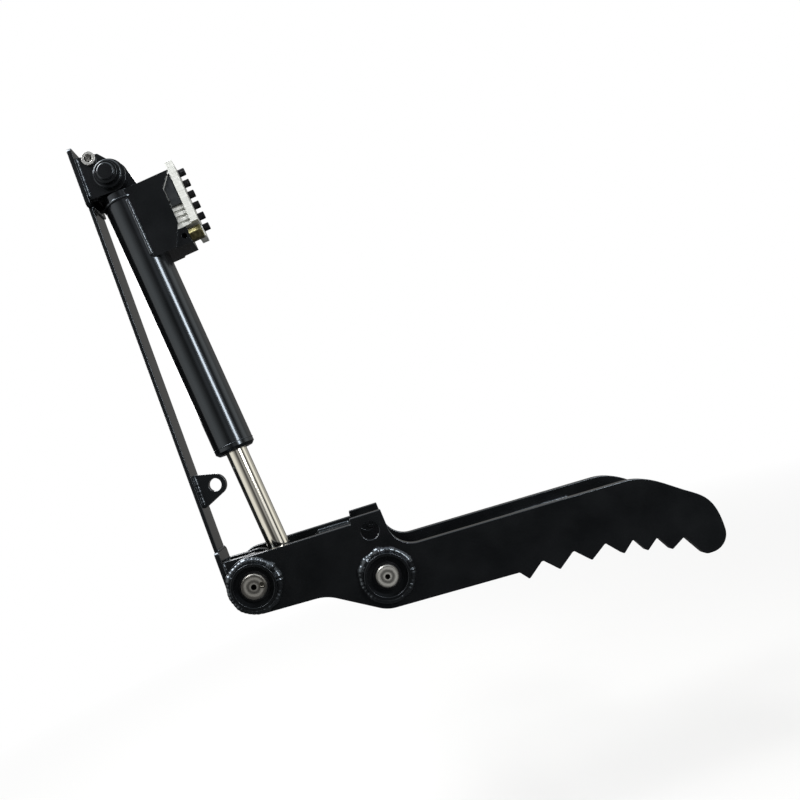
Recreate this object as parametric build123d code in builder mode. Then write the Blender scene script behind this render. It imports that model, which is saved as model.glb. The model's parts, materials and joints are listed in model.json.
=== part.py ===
from build123d import *
from math import asin, atan2, cos, degrees, hypot, radians, sin, tan
import os

# Weld-on hydraulic thumb for an excavator stick, in millimetres.
# +Z runs up along the stick, +X points from the weld faces towards the thumb, and Y goes across.
# The origin is the middle of the lower weld pad's face. "near" is the -Y side, "far" the +Y side.

# Base: two weld pads joined by a flat bar
pad_width = 100
pad_thick = 10
lower_pad_length = 90
upper_pad_length = 123
bar_width = 76
bar_thick = 8
bar_length = 739
pad_corner = 8

# Where the two hinge axes of the base lie
pivot_reach = 65
pivot_below = 37
base_pin_reach = 62
base_pin_inset = 47

# Lower ears, which carry the thumb pivot; the outline's angles are in degrees about it
lower_ear_thick = 20
lower_ear_radius = 55
lower_ear_heel_radius = 60
lower_ear_waist_gap = 5
lower_ear_top = 58
lower_ear_crest = 97
lower_ear_shoulder = 50
lower_ear_waist_start = 38
lower_ear_waist_end = -60
lower_ear_heel = -95
lower_bush_wall = 6

# Upper ears, which carry the cylinder's base pin
upper_ear_thick = 16
upper_ear_radius = 34
upper_ear_top = 55
upper_ear_crest_x = -7
upper_ear_crest_z = 49
upper_ear_nose = 78
base_pin_diameter = 35
base_boss_diameter = 58
base_boss_height = 12
base_head_diameter = 45
base_head_height = 8
base_tip_height = 4
ear_tube_diameter = 28
ear_tube_wall = 6
ear_tube_gap = 1
ear_tube_angle = 121
ear_tube_overhang = 6

# Lug on the bar for the parking strut
lug_thick = 20
lug_height = 174
lug_reach = 43
lug_radius = 22.5
lug_bore = 27
lug_rise = 33
lug_drop = 39
lug_top_angle = 75
lug_foot_angle = -60

# Thumb: two toothed side plates, in the thumb's own axes from the pivot
thumb_tilt = -2.7
thumb_width = 200
side_thick = 20
root_radius = 57
root_flat_radius = 65
root_flat_end = 159
pin_diameter = 50
cross_x = 250
cross_z = -57
cross_diameter = 45
cross_bulge = 65
belly_slope = 30
belly_blend = 80
belly_top_z = -60.5
bottom_z = -129
ear_start = 211
ear_lead = 1
ear_end = 275
ear_top = 68
ear_foot = 7
ear_hole_x = 244
ear_hole_z = 35
ear_hole_diameter = 36
plug_ring_x = 251
plug_ring_z = 31
plug_ring_diameter = 20
plug_ring_wall = 5
plug_ring_height = 3
back_z = -13
back_blend = 50
back_end = 740
back_end_z = -20.5
nose_shoulder_x = 786
nose_shoulder_z = -31
nose_brow_x = 847
nose_brow_z = -71
nose_x = 864
nose_z = -166
nose_radius = 36.5
nose_flat = 14
nose_corner = 13

# Teeth along the gripping edge
first_tip = 511
tooth_gaps = (62, 64, 63, 45, 46)
tooth_height = 27
tooth_lead = 15
tooth_lean = 3
last_root = 30
grip_z = -119.5
grip_straight = 595
grip_radius = 680
tip_fillet = 3
root_fillet = 5

# Pivot collars and rings, the same at both thumb pins
collar_diameter = 90
collar_wall = 5.5
collar_flare = 7
collar_foot_height = 8
collar_height = 18
pin_stand = 16
ring_wall = 7
ring_thick = 4
ring_groove = 2
pin_chamfer = 2
centre_drill = 6
centre_drill_depth = 5

# Crank pin, which joins the rod's eye to the thumb
crank_reach = 62
crank_diameter = 30
crank_clearance = 12
crank_block_thick = 15
crank_wall = 9
hub_diameter = 72

# Cross plates between the thumb's side plates
plate_thick = 12
top_plate_start = 132
top_plate_end = 209
top_plate_drop = 10
belly_plate_start = 128
belly_plate_end = 222
belly_plate_inset = 8
spine_start = 335
spine_end = 680
spine_z = -50
web_x = 505
web_depth = 52
tip_plate_x = 850
tip_plate_z = -118
tip_plate_length = 62
tip_plate_angle = -58
sleeve_wall = 12

# Hydraulic cylinder, measured along its axis from the base pin
barrel_diameter = 85
barrel_wall = 10
barrel_start = 52
barrel_end = 593
eye_width = 50
base_cap_gap = 2
base_cap_eye_radius = 36
base_cap_shoulder = 6
base_cap_spigot = 14
eye_bush_wall = 5
gland_flange = 14
gland_spigot = 44
gland_chamfer = 6
rod_diameter = 45
wiper_depth = 7
wiper_wall = 5
seal_setback = 24
seal_width = 8
seal_wall = 6
piston_start = 270
piston_length = 60
piston_land = 14
piston_spigot = 28
piston_seal_width = 10
piston_seal_depth = 4
wear_ring_width = 12
wear_ring_depth = 2.5
nut_height = 24
nut_across = 46
rod_eye_wall = 8
rod_neck_step = 1.5
rod_neck_length = 52
rod_bush_wall = 4

# Valve on the barrel's outboard side: along the axis, and out from it
valve_bottom = 187
valve_width = 80
cheek_thick = 8
cheek_gap = 3
cheek_out = 112
cheek_brow = 66
cheek_knee_out = 88
cheek_knee = 142
cheek_foot_out = 65
saddle_thick = 10
manifold_in = 62
manifold_top = 42
manifold_bottom = 153
manifold_rib = 5
manifold_rib_pitch = 12
manifold_rib_first = 9
manifold_ribs = 5
cap_gap = 2
cap_bottom = 108
cap_thick = 4
cover_thick = 15
cover_top = 22
cover_bottom = 176
cover_notch_gap = 2
port_block_setback = 14
port_bore = 12
port_out = 88
port_depth = 20
fitting_across = 26
fitting_length = 27
fitting_bore = 12
fitting_offset = 18
screw_count = 6
screw_top_margin = 12.5
screw_bottom_margin = 18
screw_diameter = 15
screw_height = 14
screw_socket = 7
screw_offset = 7

# Pipe that feeds the rod end of the cylinder, on the far side of the barrel
pipe_diameter = 12
pipe_wall = 2
pipe_gap = 17
pipe_start = 130
pipe_start_out = 62
pipe_drop = 55
pipe_bend = 16
rod_port_setback = 29
port_boss_diameter = 30
port_boss_height = 6
clip_length = 16
clip_width = 24

# Fits and gaps
running = 0.05
side_play = 0.5
side_gap = 1

sides = {"near": -1, "far": 1}
hinge = Vector(pivot_reach, 0, -pivot_below)
lower_pad_top = lower_pad_length / 2
upper_pad_low = lower_pad_top + bar_length
base_pin_z = upper_pad_low + base_pin_inset
base_hinge = Vector(base_pin_reach, 0, base_pin_z)
tilt = radians(thumb_tilt)
crank = hinge + Vector(crank_reach * cos(tilt), 0, crank_reach * sin(tilt))
cylinder_length = hypot(crank.X - base_hinge.X, crank.Z - base_hinge.Z)
lean = atan2(crank.X - base_hinge.X, base_hinge.Z - crank.Z)
axis_way = Vector(sin(lean), 0, -cos(lean))
out_way = Vector(cos(lean), 0, sin(lean))
barrel_radius = barrel_diameter / 2
barrel_bore = barrel_diameter - 2 * barrel_wall
ear_gap = eye_width + 2 * side_gap
base_cap_start = upper_ear_radius + base_cap_gap
thumb_inner = thumb_width / 2 - side_thick
eye_half = eye_width / 2


def base_side(y):
    """Plane across the base at height y: local x is X, local y is Z, and it faces -Y."""
    return Plane(origin=(0, y, 0), x_dir=(1, 0, 0), z_dir=(0, -1, 0))


def side_at(centre, y):
    """The same plane with its origin at a hinge axis."""
    return Plane(origin=(centre.X, y, centre.Z), x_dir=(1, 0, 0), z_dir=(0, -1, 0))


def thumb_side(y):
    """Plane of the thumb: local x runs along it from the pivot, local y up from its back."""
    way = (cos(tilt), 0, sin(tilt))
    return Plane(origin=(hinge.X, y, hinge.Z), x_dir=way, z_dir=(0, -1, 0))


def cylinder_side(y):
    """Plane of the cylinder: local x is out from its axis, local y is along it, and it faces +Y."""
    return Plane(origin=(base_hinge.X, y, base_hinge.Z), x_dir=out_way, z_dir=(0, 1, 0))


def cylinder_cut(place):
    """Plane square to the cylinder's axis, at a distance from the base pin."""
    return Plane(origin=base_hinge + axis_way * place, x_dir=out_way, z_dir=axis_way)


def save(piece, name):
    """Label a finished piece and write it."""
    piece.part.label = name
    export_step(piece.part, f"parts/{name}.step")


def grip_line(x):
    """Height of the tooth roots: straight, then rising away on a large arc towards the tip."""
    past = max(0, x - grip_straight)
    return grip_z - past * past / (2 * grip_radius)


os.makedirs("parts", exist_ok=True)

# Base

with BuildPart() as base_bar:
    with BuildSketch(Plane.XY.offset(lower_pad_top)):
        with Locations((bar_thick / 2, 0)):
            Rectangle(bar_thick, bar_width)
    extrude(amount=bar_length)
save(base_bar, "base_bar")

for name, low, length in (("lower_pad", -lower_pad_top, lower_pad_length),
                          ("upper_pad", upper_pad_low, upper_pad_length)):
    with BuildPart() as pad:
        with BuildSketch(Plane.YZ):
            with Locations((0, low + length / 2)):
                RectangleRounded(pad_width, length, pad_corner)
        extrude(amount=pad_thick)
    save(pad, name)

ear_back = pad_thick - pivot_reach
lower_bush_radius = pin_diameter / 2 + lower_bush_wall
lower_ear_waist = crank_reach - crank_diameter / 2 - lower_ear_waist_gap
lower_ear_tail = lower_pad_top - pivot_below
tail_angle = degrees(asin(lower_ear_tail / lower_ear_heel_radius)) - 180


def on_circle(radius, angle):
    """Point at an angle, in degrees, on a circle about the local origin."""
    return (radius * cos(radians(angle)), radius * sin(radians(angle)))


for side, sign in sides.items():
    with BuildPart() as lower_ear:
        with BuildSketch(side_at(hinge, sign * ear_gap / 2)):
            with BuildLine():
                nose = CenterArc((0, 0), lower_ear_radius, lower_ear_crest,
                                 lower_ear_shoulder - lower_ear_crest)
                waist = CenterArc((0, 0), lower_ear_waist, lower_ear_waist_start,
                                  lower_ear_waist_end - lower_ear_waist_start)
                heel = CenterArc((0, 0), lower_ear_heel_radius, lower_ear_heel, tail_angle - lower_ear_heel)
                Line(nose @ 1, waist @ 0)
                Line(waist @ 1, heel @ 0)
                Polyline(heel @ 1, (ear_back, -lower_ear_tail), (ear_back, lower_ear_top), nose @ 0)
            make_face()
            Circle(lower_bush_radius, mode=Mode.SUBTRACT)
        extrude(amount=-sign * lower_ear_thick)
    save(lower_ear, f"lower_ear_{side}")

    with BuildPart() as lower_bush:
        with BuildSketch(side_at(hinge, sign * ear_gap / 2)):
            Circle(lower_bush_radius)
            Circle(pin_diameter / 2 + running, mode=Mode.SUBTRACT)
        extrude(amount=-sign * lower_ear_thick)
    save(lower_bush, f"lower_bush_{side}")

with BuildPart() as lock_lug:
    with BuildSketch(base_side(lug_thick / 2)):
        with BuildLine():
            hub = CenterArc((lug_reach, lug_height), lug_radius, lug_top_angle,
                            lug_foot_angle - lug_top_angle)
            Polyline(hub @ 1, (bar_thick, lug_height - lug_drop),
                     (bar_thick, lug_height + lug_rise), hub @ 0)
        make_face()
        with Locations((lug_reach, lug_height)):
            Circle(lug_bore / 2, mode=Mode.SUBTRACT)
    extrude(amount=lug_thick)
save(lock_lug, "lock_lug")

upper_back = pad_thick - base_pin_reach
upper_outer = ear_gap / 2 + upper_ear_thick
tube_place = on_circle(base_cap_eye_radius + ear_tube_gap + ear_tube_diameter / 2, ear_tube_angle)
for side, sign in sides.items():
    with BuildPart() as upper_ear:
        with BuildSketch(side_at(base_hinge, sign * ear_gap / 2)):
            with BuildLine():
                nose = CenterArc((0, 0), upper_ear_radius, upper_ear_nose, -90 - upper_ear_nose)
                Polyline(nose @ 1, (upper_back, -upper_ear_radius), (upper_back, upper_ear_top),
                         (upper_ear_crest_x, upper_ear_crest_z), nose @ 0)
            make_face()
            Circle(base_pin_diameter / 2 + running, mode=Mode.SUBTRACT)
            with Locations(tube_place):
                Circle(ear_tube_diameter / 2, mode=Mode.SUBTRACT)
        extrude(amount=-sign * upper_ear_thick)
    save(upper_ear, f"upper_ear_{side}")

    with BuildPart() as upper_boss:
        with BuildSketch(side_at(base_hinge, sign * upper_outer)):
            Circle(base_boss_diameter / 2)
            Circle(base_pin_diameter / 2 + running, mode=Mode.SUBTRACT)
        extrude(amount=-sign * base_boss_height)
        chamfer(upper_boss.faces().sort_by(Axis.Y)[0 if sign < 0 else -1].outer_wire().edges(), pin_chamfer)
    save(upper_boss, f"upper_boss_{side}")

boss_face = upper_outer + base_boss_height
base_pin_end = boss_face + ring_thick + side_play + base_tip_height
with BuildPart() as base_pin:
    with BuildSketch(side_at(base_hinge, base_pin_end)):
        Circle(base_pin_diameter / 2)
    extrude(amount=base_pin_end + boss_face + base_head_height + base_tip_height)
    with BuildSketch(side_at(base_hinge, -boss_face)):
        Circle(base_head_diameter / 2)
    extrude(amount=base_head_height)
    chamfer(base_pin.edges().filter_by(GeomType.CIRCLE).sort_by(Axis.Y)[0], pin_chamfer)
    with BuildSketch(side_at(base_hinge, boss_face + side_play + ring_thick)):
        Circle(base_pin_diameter / 2)
        Circle(base_pin_diameter / 2 - ring_groove, mode=Mode.SUBTRACT)
    extrude(amount=ring_thick, mode=Mode.SUBTRACT)
save(base_pin, "base_pin")

with BuildPart() as base_ring:
    with BuildSketch(side_at(base_hinge, boss_face + side_play + ring_thick)):
        Circle(base_pin_diameter / 2 + ring_wall - ring_groove)
        Circle(base_pin_diameter / 2 - ring_groove, mode=Mode.SUBTRACT)
    extrude(amount=ring_thick)
save(base_ring, "base_pin_ring")

tube_half = upper_outer + ear_tube_overhang
with BuildPart() as ear_tube:
    with BuildSketch(side_at(base_hinge, tube_half)):
        with Locations(tube_place):
            Circle(ear_tube_diameter / 2)
            Circle(ear_tube_diameter / 2 - ear_tube_wall, mode=Mode.SUBTRACT)
    extrude(amount=2 * tube_half)
save(ear_tube, "ear_tube")

# Thumb

tips = [first_tip]
for gap in tooth_gaps:
    tips.append(tips[-1] + gap)
tip_points = [(x, grip_line(x) - tooth_height) for x in tips]
root_xs = [(a + b) / 2 + tooth_lean for a, b in zip(tips, tips[1:])] + [tips[-1] + last_root]
root_points = [(x, grip_line(x)) for x in root_xs]
teeth = [point for pair in zip(reversed(root_points), reversed(tip_points)) for point in pair]
belly_out, belly_down = on_circle(cross_bulge, -90 - belly_slope)
belly_touch = (cross_x + belly_out, cross_z + belly_down)
belly_corner = (belly_touch[0] + (belly_touch[1] - belly_top_z) / tan(radians(belly_slope)), belly_top_z)
nose_heel = (nose_x - nose_flat, nose_z - nose_radius)
tooth_start = (first_tip - tooth_lead, bottom_z)
bottom_slope = degrees(atan2(cross_z - cross_bulge - bottom_z, tooth_start[0] - cross_x))
back_start = (ear_end + ear_foot, back_z)
back_way = Vector(back_end - back_start[0], back_end_z - back_z).normalized()

for side, sign in sides.items():
    with BuildPart() as side_plate:
        with BuildSketch(thumb_side(sign * thumb_inner)) as outline:
            with BuildLine():
                root = CenterArc((0, 0), root_radius, root_flat_end, 90 - root_flat_end)
                root_flat = RadiusArc((0, -root_radius), root @ 0, root_flat_radius)
                bulge = CenterArc((cross_x, cross_z), cross_bulge, -90 - bottom_slope,
                                  bottom_slope - belly_slope)
                nose = CenterArc((nose_x, nose_z), nose_radius, 0, -90)
                Polyline(root @ 1, (ear_start, root_radius), (ear_start + ear_lead, ear_top),
                         (ear_end, ear_top), back_start, (back_end, back_end_z))
                Spline((back_end, back_end_z), (nose_shoulder_x, nose_shoulder_z),
                       (nose_brow_x, nose_brow_z), nose @ 0, tangents=[back_way, (0, -1)])
                Polyline(nose @ 1, nose_heel, *teeth, tooth_start, bulge @ 0)
                Polyline(bulge @ 1, belly_corner, root_flat @ 0)
            make_face()

            def corner(x, z):
                """The outline's corner that lies at a place."""
                return outline.vertices().sort_by_distance((x, z, 0))[0]

            fillet([corner(*point) for point in root_points], root_fillet)
            fillet([corner(*point) for point in tip_points], tip_fillet)
            fillet(corner(*nose_heel), nose_corner)
            fillet(corner(*belly_corner), belly_blend)
            fillet(corner(*back_start), back_blend)
            Circle(pin_diameter / 2 + running, mode=Mode.SUBTRACT)
            with Locations((cross_x, cross_z)):
                Circle(cross_diameter / 2 + running, mode=Mode.SUBTRACT)
            with Locations((ear_hole_x, ear_hole_z)):
                Circle(ear_hole_diameter / 2, mode=Mode.SUBTRACT)
        extrude(amount=-sign * side_thick)
    save(side_plate, f"side_plate_{side}")

# The far plate's ear hole is closed by a plug with a small ring on its inner face
with BuildPart() as ear_plug:
    with BuildSketch(thumb_side(thumb_inner)):
        with Locations((ear_hole_x, ear_hole_z)):
            Circle(ear_hole_diameter / 2)
    extrude(amount=-side_thick)
    with BuildSketch(thumb_side(thumb_inner)):
        with Locations((plug_ring_x, plug_ring_z)):
            Circle(plug_ring_diameter / 2)
            Circle(plug_ring_diameter / 2 - plug_ring_wall, mode=Mode.SUBTRACT)
    extrude(amount=plug_ring_height)
save(ear_plug, "ear_plug")

# The two thumb pins are held alike: a collar, a ring in a groove, and the pin's end standing in it
thumb_outer = thumb_width / 2
pin_half = thumb_outer + pin_stand
for pin_name, pin_x, pin_z, diameter in (("pivot", 0, 0, pin_diameter),
                                         ("cross", cross_x, cross_z, cross_diameter)):
    pin_radius = diameter / 2
    ring_face = thumb_outer + side_play
    with BuildPart() as pin:
        with BuildSketch(thumb_side(pin_half)):
            with Locations((pin_x, pin_z)):
                Circle(pin_radius)
        extrude(amount=2 * pin_half)
        chamfer(pin.edges().filter_by(GeomType.CIRCLE), pin_chamfer)
        for sign in sides.values():
            with BuildSketch(thumb_side(sign * ring_face)):
                with Locations((pin_x, pin_z)):
                    Circle(pin_radius)
                    Circle(pin_radius - ring_groove, mode=Mode.SUBTRACT)
            extrude(amount=-sign * ring_thick, mode=Mode.SUBTRACT)
            with BuildSketch(thumb_side(sign * pin_half)):
                with Locations((pin_x, pin_z)):
                    Circle(centre_drill / 2)
            extrude(amount=sign * centre_drill_depth, mode=Mode.SUBTRACT)
    save(pin, f"{pin_name}_pin")

    for side, sign in sides.items():
        with BuildPart() as collar:
            with BuildSketch(thumb_side(sign * thumb_outer)):
                with Locations((pin_x, pin_z)):
                    Circle(collar_diameter / 2)
            extrude(amount=-sign * collar_height)
            with BuildSketch(thumb_side(sign * thumb_outer)):
                with Locations((pin_x, pin_z)):
                    Circle(collar_diameter / 2 + collar_flare)
            extrude(amount=-sign * collar_foot_height,
                    taper=degrees(atan2(collar_flare, collar_foot_height)))
            with BuildSketch(thumb_side(sign * thumb_outer)):
                with Locations((pin_x, pin_z)):
                    Circle(collar_diameter / 2 - collar_wall)
            extrude(amount=-sign * collar_height, mode=Mode.SUBTRACT)
        save(collar, f"{pin_name}_collar_{side}")

        with BuildPart() as ring:
            with BuildSketch(thumb_side(sign * ring_face)):
                with Locations((pin_x, pin_z)):
                    Circle(pin_radius + ring_wall - ring_groove)
                    Circle(pin_radius - ring_groove, mode=Mode.SUBTRACT)
            extrude(amount=-sign * ring_thick)
        save(ring, f"{pin_name}_ring_{side}")

# Blocks inside the side plates: the hub that spaces the ears, and the crank pin's loose eye
block_inner = thumb_inner - crank_block_thick
hub_inner = ear_gap / 2 + lower_ear_thick + side_play
crank_radius = crank_diameter / 2
for side, sign in sides.items():
    with BuildPart() as crank_block:
        with BuildSketch(thumb_side(sign * block_inner)):
            Circle(hub_diameter / 2)
            with Locations((crank_reach, 0)):
                Circle(crank_radius + crank_clearance + crank_wall)
            make_hull()
            Circle(pin_diameter / 2 + running, mode=Mode.SUBTRACT)
            with Locations((crank_reach, 0)):
                Circle(crank_radius + crank_clearance, mode=Mode.SUBTRACT)
        extrude(amount=-sign * crank_block_thick)
        with BuildSketch(thumb_side(sign * hub_inner)):
            Circle(hub_diameter / 2)
            Circle(pin_diameter / 2 + running, mode=Mode.SUBTRACT)
        extrude(amount=-sign * (block_inner - hub_inner))
    save(crank_block, f"crank_block_{side}")

with BuildPart() as cross_sleeve:
    with BuildSketch(thumb_side(thumb_inner)):
        with Locations((cross_x, cross_z)):
            Circle(cross_diameter / 2 + sleeve_wall)
            Circle(cross_diameter / 2 + running, mode=Mode.SUBTRACT)
    extrude(amount=2 * thumb_inner)
save(cross_sleeve, "cross_sleeve")

top_plate_z = root_radius - top_plate_drop - plate_thick / 2
with BuildPart() as top_plate:
    with BuildSketch(thumb_side(thumb_inner)):
        with Locations(((top_plate_start + top_plate_end) / 2, top_plate_z)):
            Rectangle(top_plate_end - top_plate_start, plate_thick)
    extrude(amount=2 * thumb_inner)
save(top_plate, "top_plate")

belly_rise = tan(radians(belly_slope))
belly_lift = (belly_plate_inset + plate_thick / 2) / cos(radians(belly_slope))
belly_mid = (belly_plate_start + belly_plate_end) / 2
belly_mid_z = belly_touch[1] + (belly_touch[0] - belly_mid) * belly_rise + belly_lift
with BuildPart() as belly_plate:
    with BuildSketch(thumb_side(thumb_inner)):
        with Locations(Location((belly_mid, belly_mid_z, 0), (0, 0, -belly_slope))):
            Rectangle((belly_plate_end - belly_plate_start) / cos(radians(belly_slope)), plate_thick)
        with Locations((cross_x, cross_z)):
            Circle(cross_diameter / 2 + sleeve_wall, mode=Mode.SUBTRACT)
    extrude(amount=2 * thumb_inner)
save(belly_plate, "belly_plate")

with BuildPart() as spine_plate:
    with BuildSketch(thumb_side(thumb_inner)):
        with Locations(((spine_start + spine_end) / 2, spine_z)):
            Rectangle(spine_end - spine_start, plate_thick)
    extrude(amount=2 * thumb_inner)
save(spine_plate, "spine_plate")

with BuildPart() as tine_web:
    with BuildSketch(thumb_side(thumb_inner)):
        with Locations((web_x, spine_z - plate_thick / 2 - web_depth / 2)):
            Rectangle(plate_thick, web_depth)
    extrude(amount=2 * thumb_inner)
save(tine_web, "tine_web")

with BuildPart() as tip_plate:
    with BuildSketch(thumb_side(thumb_inner)):
        with Locations(Location((tip_plate_x, tip_plate_z, 0), (0, 0, tip_plate_angle))):
            Rectangle(tip_plate_length, plate_thick)
    extrude(amount=2 * thumb_inner)
save(tip_plate, "tip_plate")

# Cylinder barrel

base_bush_radius = base_pin_diameter / 2 + eye_bush_wall
with BuildPart() as base_cap:
    with BuildSketch(cylinder_side(-eye_half)):
        Circle(base_cap_eye_radius)
        with Locations((0, base_cap_start - base_cap_shoulder / 2)):
            Rectangle(barrel_diameter, base_cap_shoulder)
        make_hull()
    extrude(amount=eye_width)
    with BuildSketch(cylinder_cut(base_cap_start)):
        Circle(barrel_radius)
    extrude(amount=barrel_start - base_cap_start)
    with BuildSketch(cylinder_cut(barrel_start)):
        Circle(barrel_bore / 2)
    extrude(amount=base_cap_spigot)
    with BuildSketch(cylinder_side(-eye_half)):
        Circle(base_bush_radius)
    extrude(amount=eye_width, mode=Mode.SUBTRACT)
save(base_cap, "base_cap")

with BuildPart() as base_bush:
    with BuildSketch(cylinder_side(-eye_half)):
        Circle(base_bush_radius)
        Circle(base_pin_diameter / 2 + running, mode=Mode.SUBTRACT)
    extrude(amount=eye_width)
save(base_bush, "base_bush")

with BuildPart() as barrel_tube:
    with BuildSketch(cylinder_cut(barrel_start)):
        Circle(barrel_radius)
        Circle(barrel_bore / 2, mode=Mode.SUBTRACT)
    extrude(amount=barrel_end - barrel_start)
save(barrel_tube, "barrel_tube")

gland_end = barrel_end + gland_flange
seal_start = barrel_end - seal_setback
wiper_radius = rod_diameter / 2 + wiper_wall
seal_radius = rod_diameter / 2 + seal_wall
with BuildPart() as gland:
    with BuildSketch(cylinder_cut(barrel_end)):
        Circle(barrel_radius)
    extrude(amount=gland_flange)
    chamfer(gland.faces().sort_by(Axis.Z)[0].edges(), gland_chamfer)
    with BuildSketch(cylinder_cut(barrel_end - gland_spigot)):
        Circle(barrel_bore / 2)
    extrude(amount=gland_spigot)
    with BuildSketch(cylinder_cut(barrel_end - gland_spigot)):
        Circle(rod_diameter / 2 + running)
    extrude(amount=gland_spigot + gland_flange, mode=Mode.SUBTRACT)
    with BuildSketch(cylinder_cut(gland_end - wiper_depth)):
        Circle(wiper_radius)
    extrude(amount=wiper_depth, mode=Mode.SUBTRACT)
    with BuildSketch(cylinder_cut(seal_start)):
        Circle(seal_radius)
    extrude(amount=seal_width, mode=Mode.SUBTRACT)
save(gland, "gland")

for name, start, width, radius in (("rod_wiper", gland_end - wiper_depth, wiper_depth, wiper_radius),
                                   ("rod_seal", seal_start, seal_width, seal_radius)):
    with BuildPart() as lip:
        with BuildSketch(cylinder_cut(start)):
            Circle(radius)
            Circle(rod_diameter / 2 + running, mode=Mode.SUBTRACT)
        extrude(amount=width)
    save(lip, name)

# Valve

valve_top = upper_ear_radius + cheek_gap
port_block_out = cheek_out - port_block_setback
port_place = (manifold_bottom + valve_bottom) / 2
screw_pitch = (cover_bottom - cover_top - screw_top_margin - screw_bottom_margin) / (screw_count - 1)
fitting_corner = fitting_across / 2 / cos(radians(30))
cheek_inner = valve_width / 2 - cheek_thick
with BuildPart() as valve_bracket:
    for sign in sides.values():
        with BuildSketch(cylinder_side(sign * cheek_inner)):
            with BuildLine():
                Polyline((0, valve_top), (cheek_out, valve_top), (cheek_knee_out, cheek_brow),
                         (cheek_knee_out, cheek_knee), (cheek_foot_out, valve_bottom), (0, valve_bottom),
                         close=True)
            make_face()
        extrude(amount=sign * cheek_thick)
    with BuildSketch(cylinder_side(-cheek_inner)):
        with Locations(((barrel_radius + saddle_thick) / 2, (barrel_start + valve_bottom) / 2)):
            Rectangle(barrel_radius + saddle_thick, valve_bottom - barrel_start)
    extrude(amount=2 * cheek_inner)
    with BuildSketch(cylinder_cut(valve_top)):
        Circle(barrel_radius)
        with Locations((-barrel_diameter / 2, 0)):
            Rectangle(barrel_diameter, 2 * barrel_diameter)
    extrude(amount=valve_bottom - valve_top, mode=Mode.SUBTRACT)
save(valve_bracket, "valve_bracket")

manifold_inner = barrel_radius + saddle_thick
with BuildPart() as valve_manifold:
    with BuildSketch(cylinder_side(-cheek_inner)):
        with Locations(((manifold_inner + cheek_out) / 2, (manifold_top + manifold_bottom) / 2)):
            Rectangle(cheek_out - manifold_inner, manifold_bottom - manifold_top)
    extrude(amount=2 * cheek_inner)
    with BuildSketch(cylinder_side(-cheek_inner)):
        for turn in range(manifold_ribs):
            groove = manifold_bottom - manifold_rib_first - manifold_rib_pitch * turn
            with Locations(((manifold_in + cheek_out) / 2, groove)):
                Rectangle(cheek_out - manifold_in, manifold_rib)
    extrude(amount=manifold_rib, mode=Mode.SUBTRACT)
save(valve_manifold, "valve_manifold")

with BuildPart() as valve_cap:
    with BuildSketch(cylinder_side(-cheek_inner)):
        with BuildLine():
            Polyline((cheek_out, manifold_top), (cheek_knee_out + cap_gap, cheek_brow + cap_gap),
                     (cheek_knee_out + cap_gap, cap_bottom), (cheek_out, cap_bottom), close=True)
        make_face()
    extrude(amount=-cap_thick)
save(valve_cap, "valve_cap")

with BuildPart() as valve_cover:
    with BuildSketch(cylinder_side(-valve_width / 2)):
        with Locations((cheek_out + cover_thick / 2, (cover_top + cover_bottom) / 2)):
            Rectangle(cover_thick, cover_bottom - cover_top)
    extrude(amount=valve_width)
    with BuildSketch(cylinder_side(-valve_width / 2)):
        with Locations((cheek_out + cover_thick / 2, (manifold_bottom + cover_bottom) / 2)):
            Rectangle(cover_thick, cover_bottom - manifold_bottom)
    extrude(amount=valve_width / 2 - fitting_offset + fitting_corner + cover_notch_gap, mode=Mode.SUBTRACT)
save(valve_cover, "valve_cover")

with BuildPart() as port_block:
    with BuildSketch(cylinder_side(-cheek_inner)):
        with Locations(((manifold_inner + port_block_out) / 2, port_place)):
            Rectangle(port_block_out - manifold_inner, valve_bottom - manifold_bottom)
    extrude(amount=2 * cheek_inner)
    with BuildSketch(cylinder_side(-cheek_inner)):
        with Locations((port_out, port_place)):
            Circle(port_bore / 2)
    extrude(amount=port_depth, mode=Mode.SUBTRACT)
save(port_block, "port_block")

with BuildPart() as port_fitting:
    fitting_plane = Plane(origin=base_hinge + out_way * port_block_out + axis_way * port_place
                          + Vector(0, -fitting_offset, 0), x_dir=axis_way, z_dir=out_way)
    with BuildSketch(fitting_plane):
        RegularPolygon(fitting_across / 2, 6, major_radius=False, rotation=30)
        Circle(fitting_bore / 2, mode=Mode.SUBTRACT)
    extrude(amount=fitting_length)
save(port_fitting, "port_fitting")

with BuildPart() as valve_screws:
    cover_face = Plane(origin=base_hinge + out_way * (cheek_out + cover_thick) + Vector(0, screw_offset, 0),
                       x_dir=axis_way, z_dir=out_way)
    with BuildSketch(cover_face):
        for turn in range(screw_count):
            with Locations((cover_top + screw_top_margin + turn * screw_pitch, 0)):
                Circle(screw_diameter / 2)
                RegularPolygon(screw_socket / 2, 6, major_radius=False, mode=Mode.SUBTRACT)
    extrude(amount=screw_height)
save(valve_screws, "valve_screws")

# Rod-end pipe on the far side of the barrel

pipe_out = barrel_radius + pipe_gap + pipe_diameter / 2
pipe_bore = pipe_diameter - 2 * pipe_wall
pipe_end = barrel_end - rod_port_setback
clip_place = (pipe_start + pipe_drop + pipe_end) / 2
boss_top = barrel_radius + port_boss_height


def beside(out, across, along):
    """Point of the cylinder: out from its axis, across towards the far side, and along it."""
    return base_hinge + out_way * out + Vector(0, across, 0) + axis_way * along


with BuildPart() as rod_port:
    with BuildSketch(Plane(origin=beside(0, boss_top, pipe_end), x_dir=out_way, z_dir=(0, -1, 0))):
        Circle(port_boss_diameter / 2)
        Circle(pipe_bore / 2, mode=Mode.SUBTRACT)
    extrude(amount=boss_top)
    with BuildSketch(cylinder_cut(pipe_end - port_boss_diameter)):
        Circle(barrel_radius)
    extrude(amount=2 * port_boss_diameter, mode=Mode.SUBTRACT)
save(rod_port, "rod_port")

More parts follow.
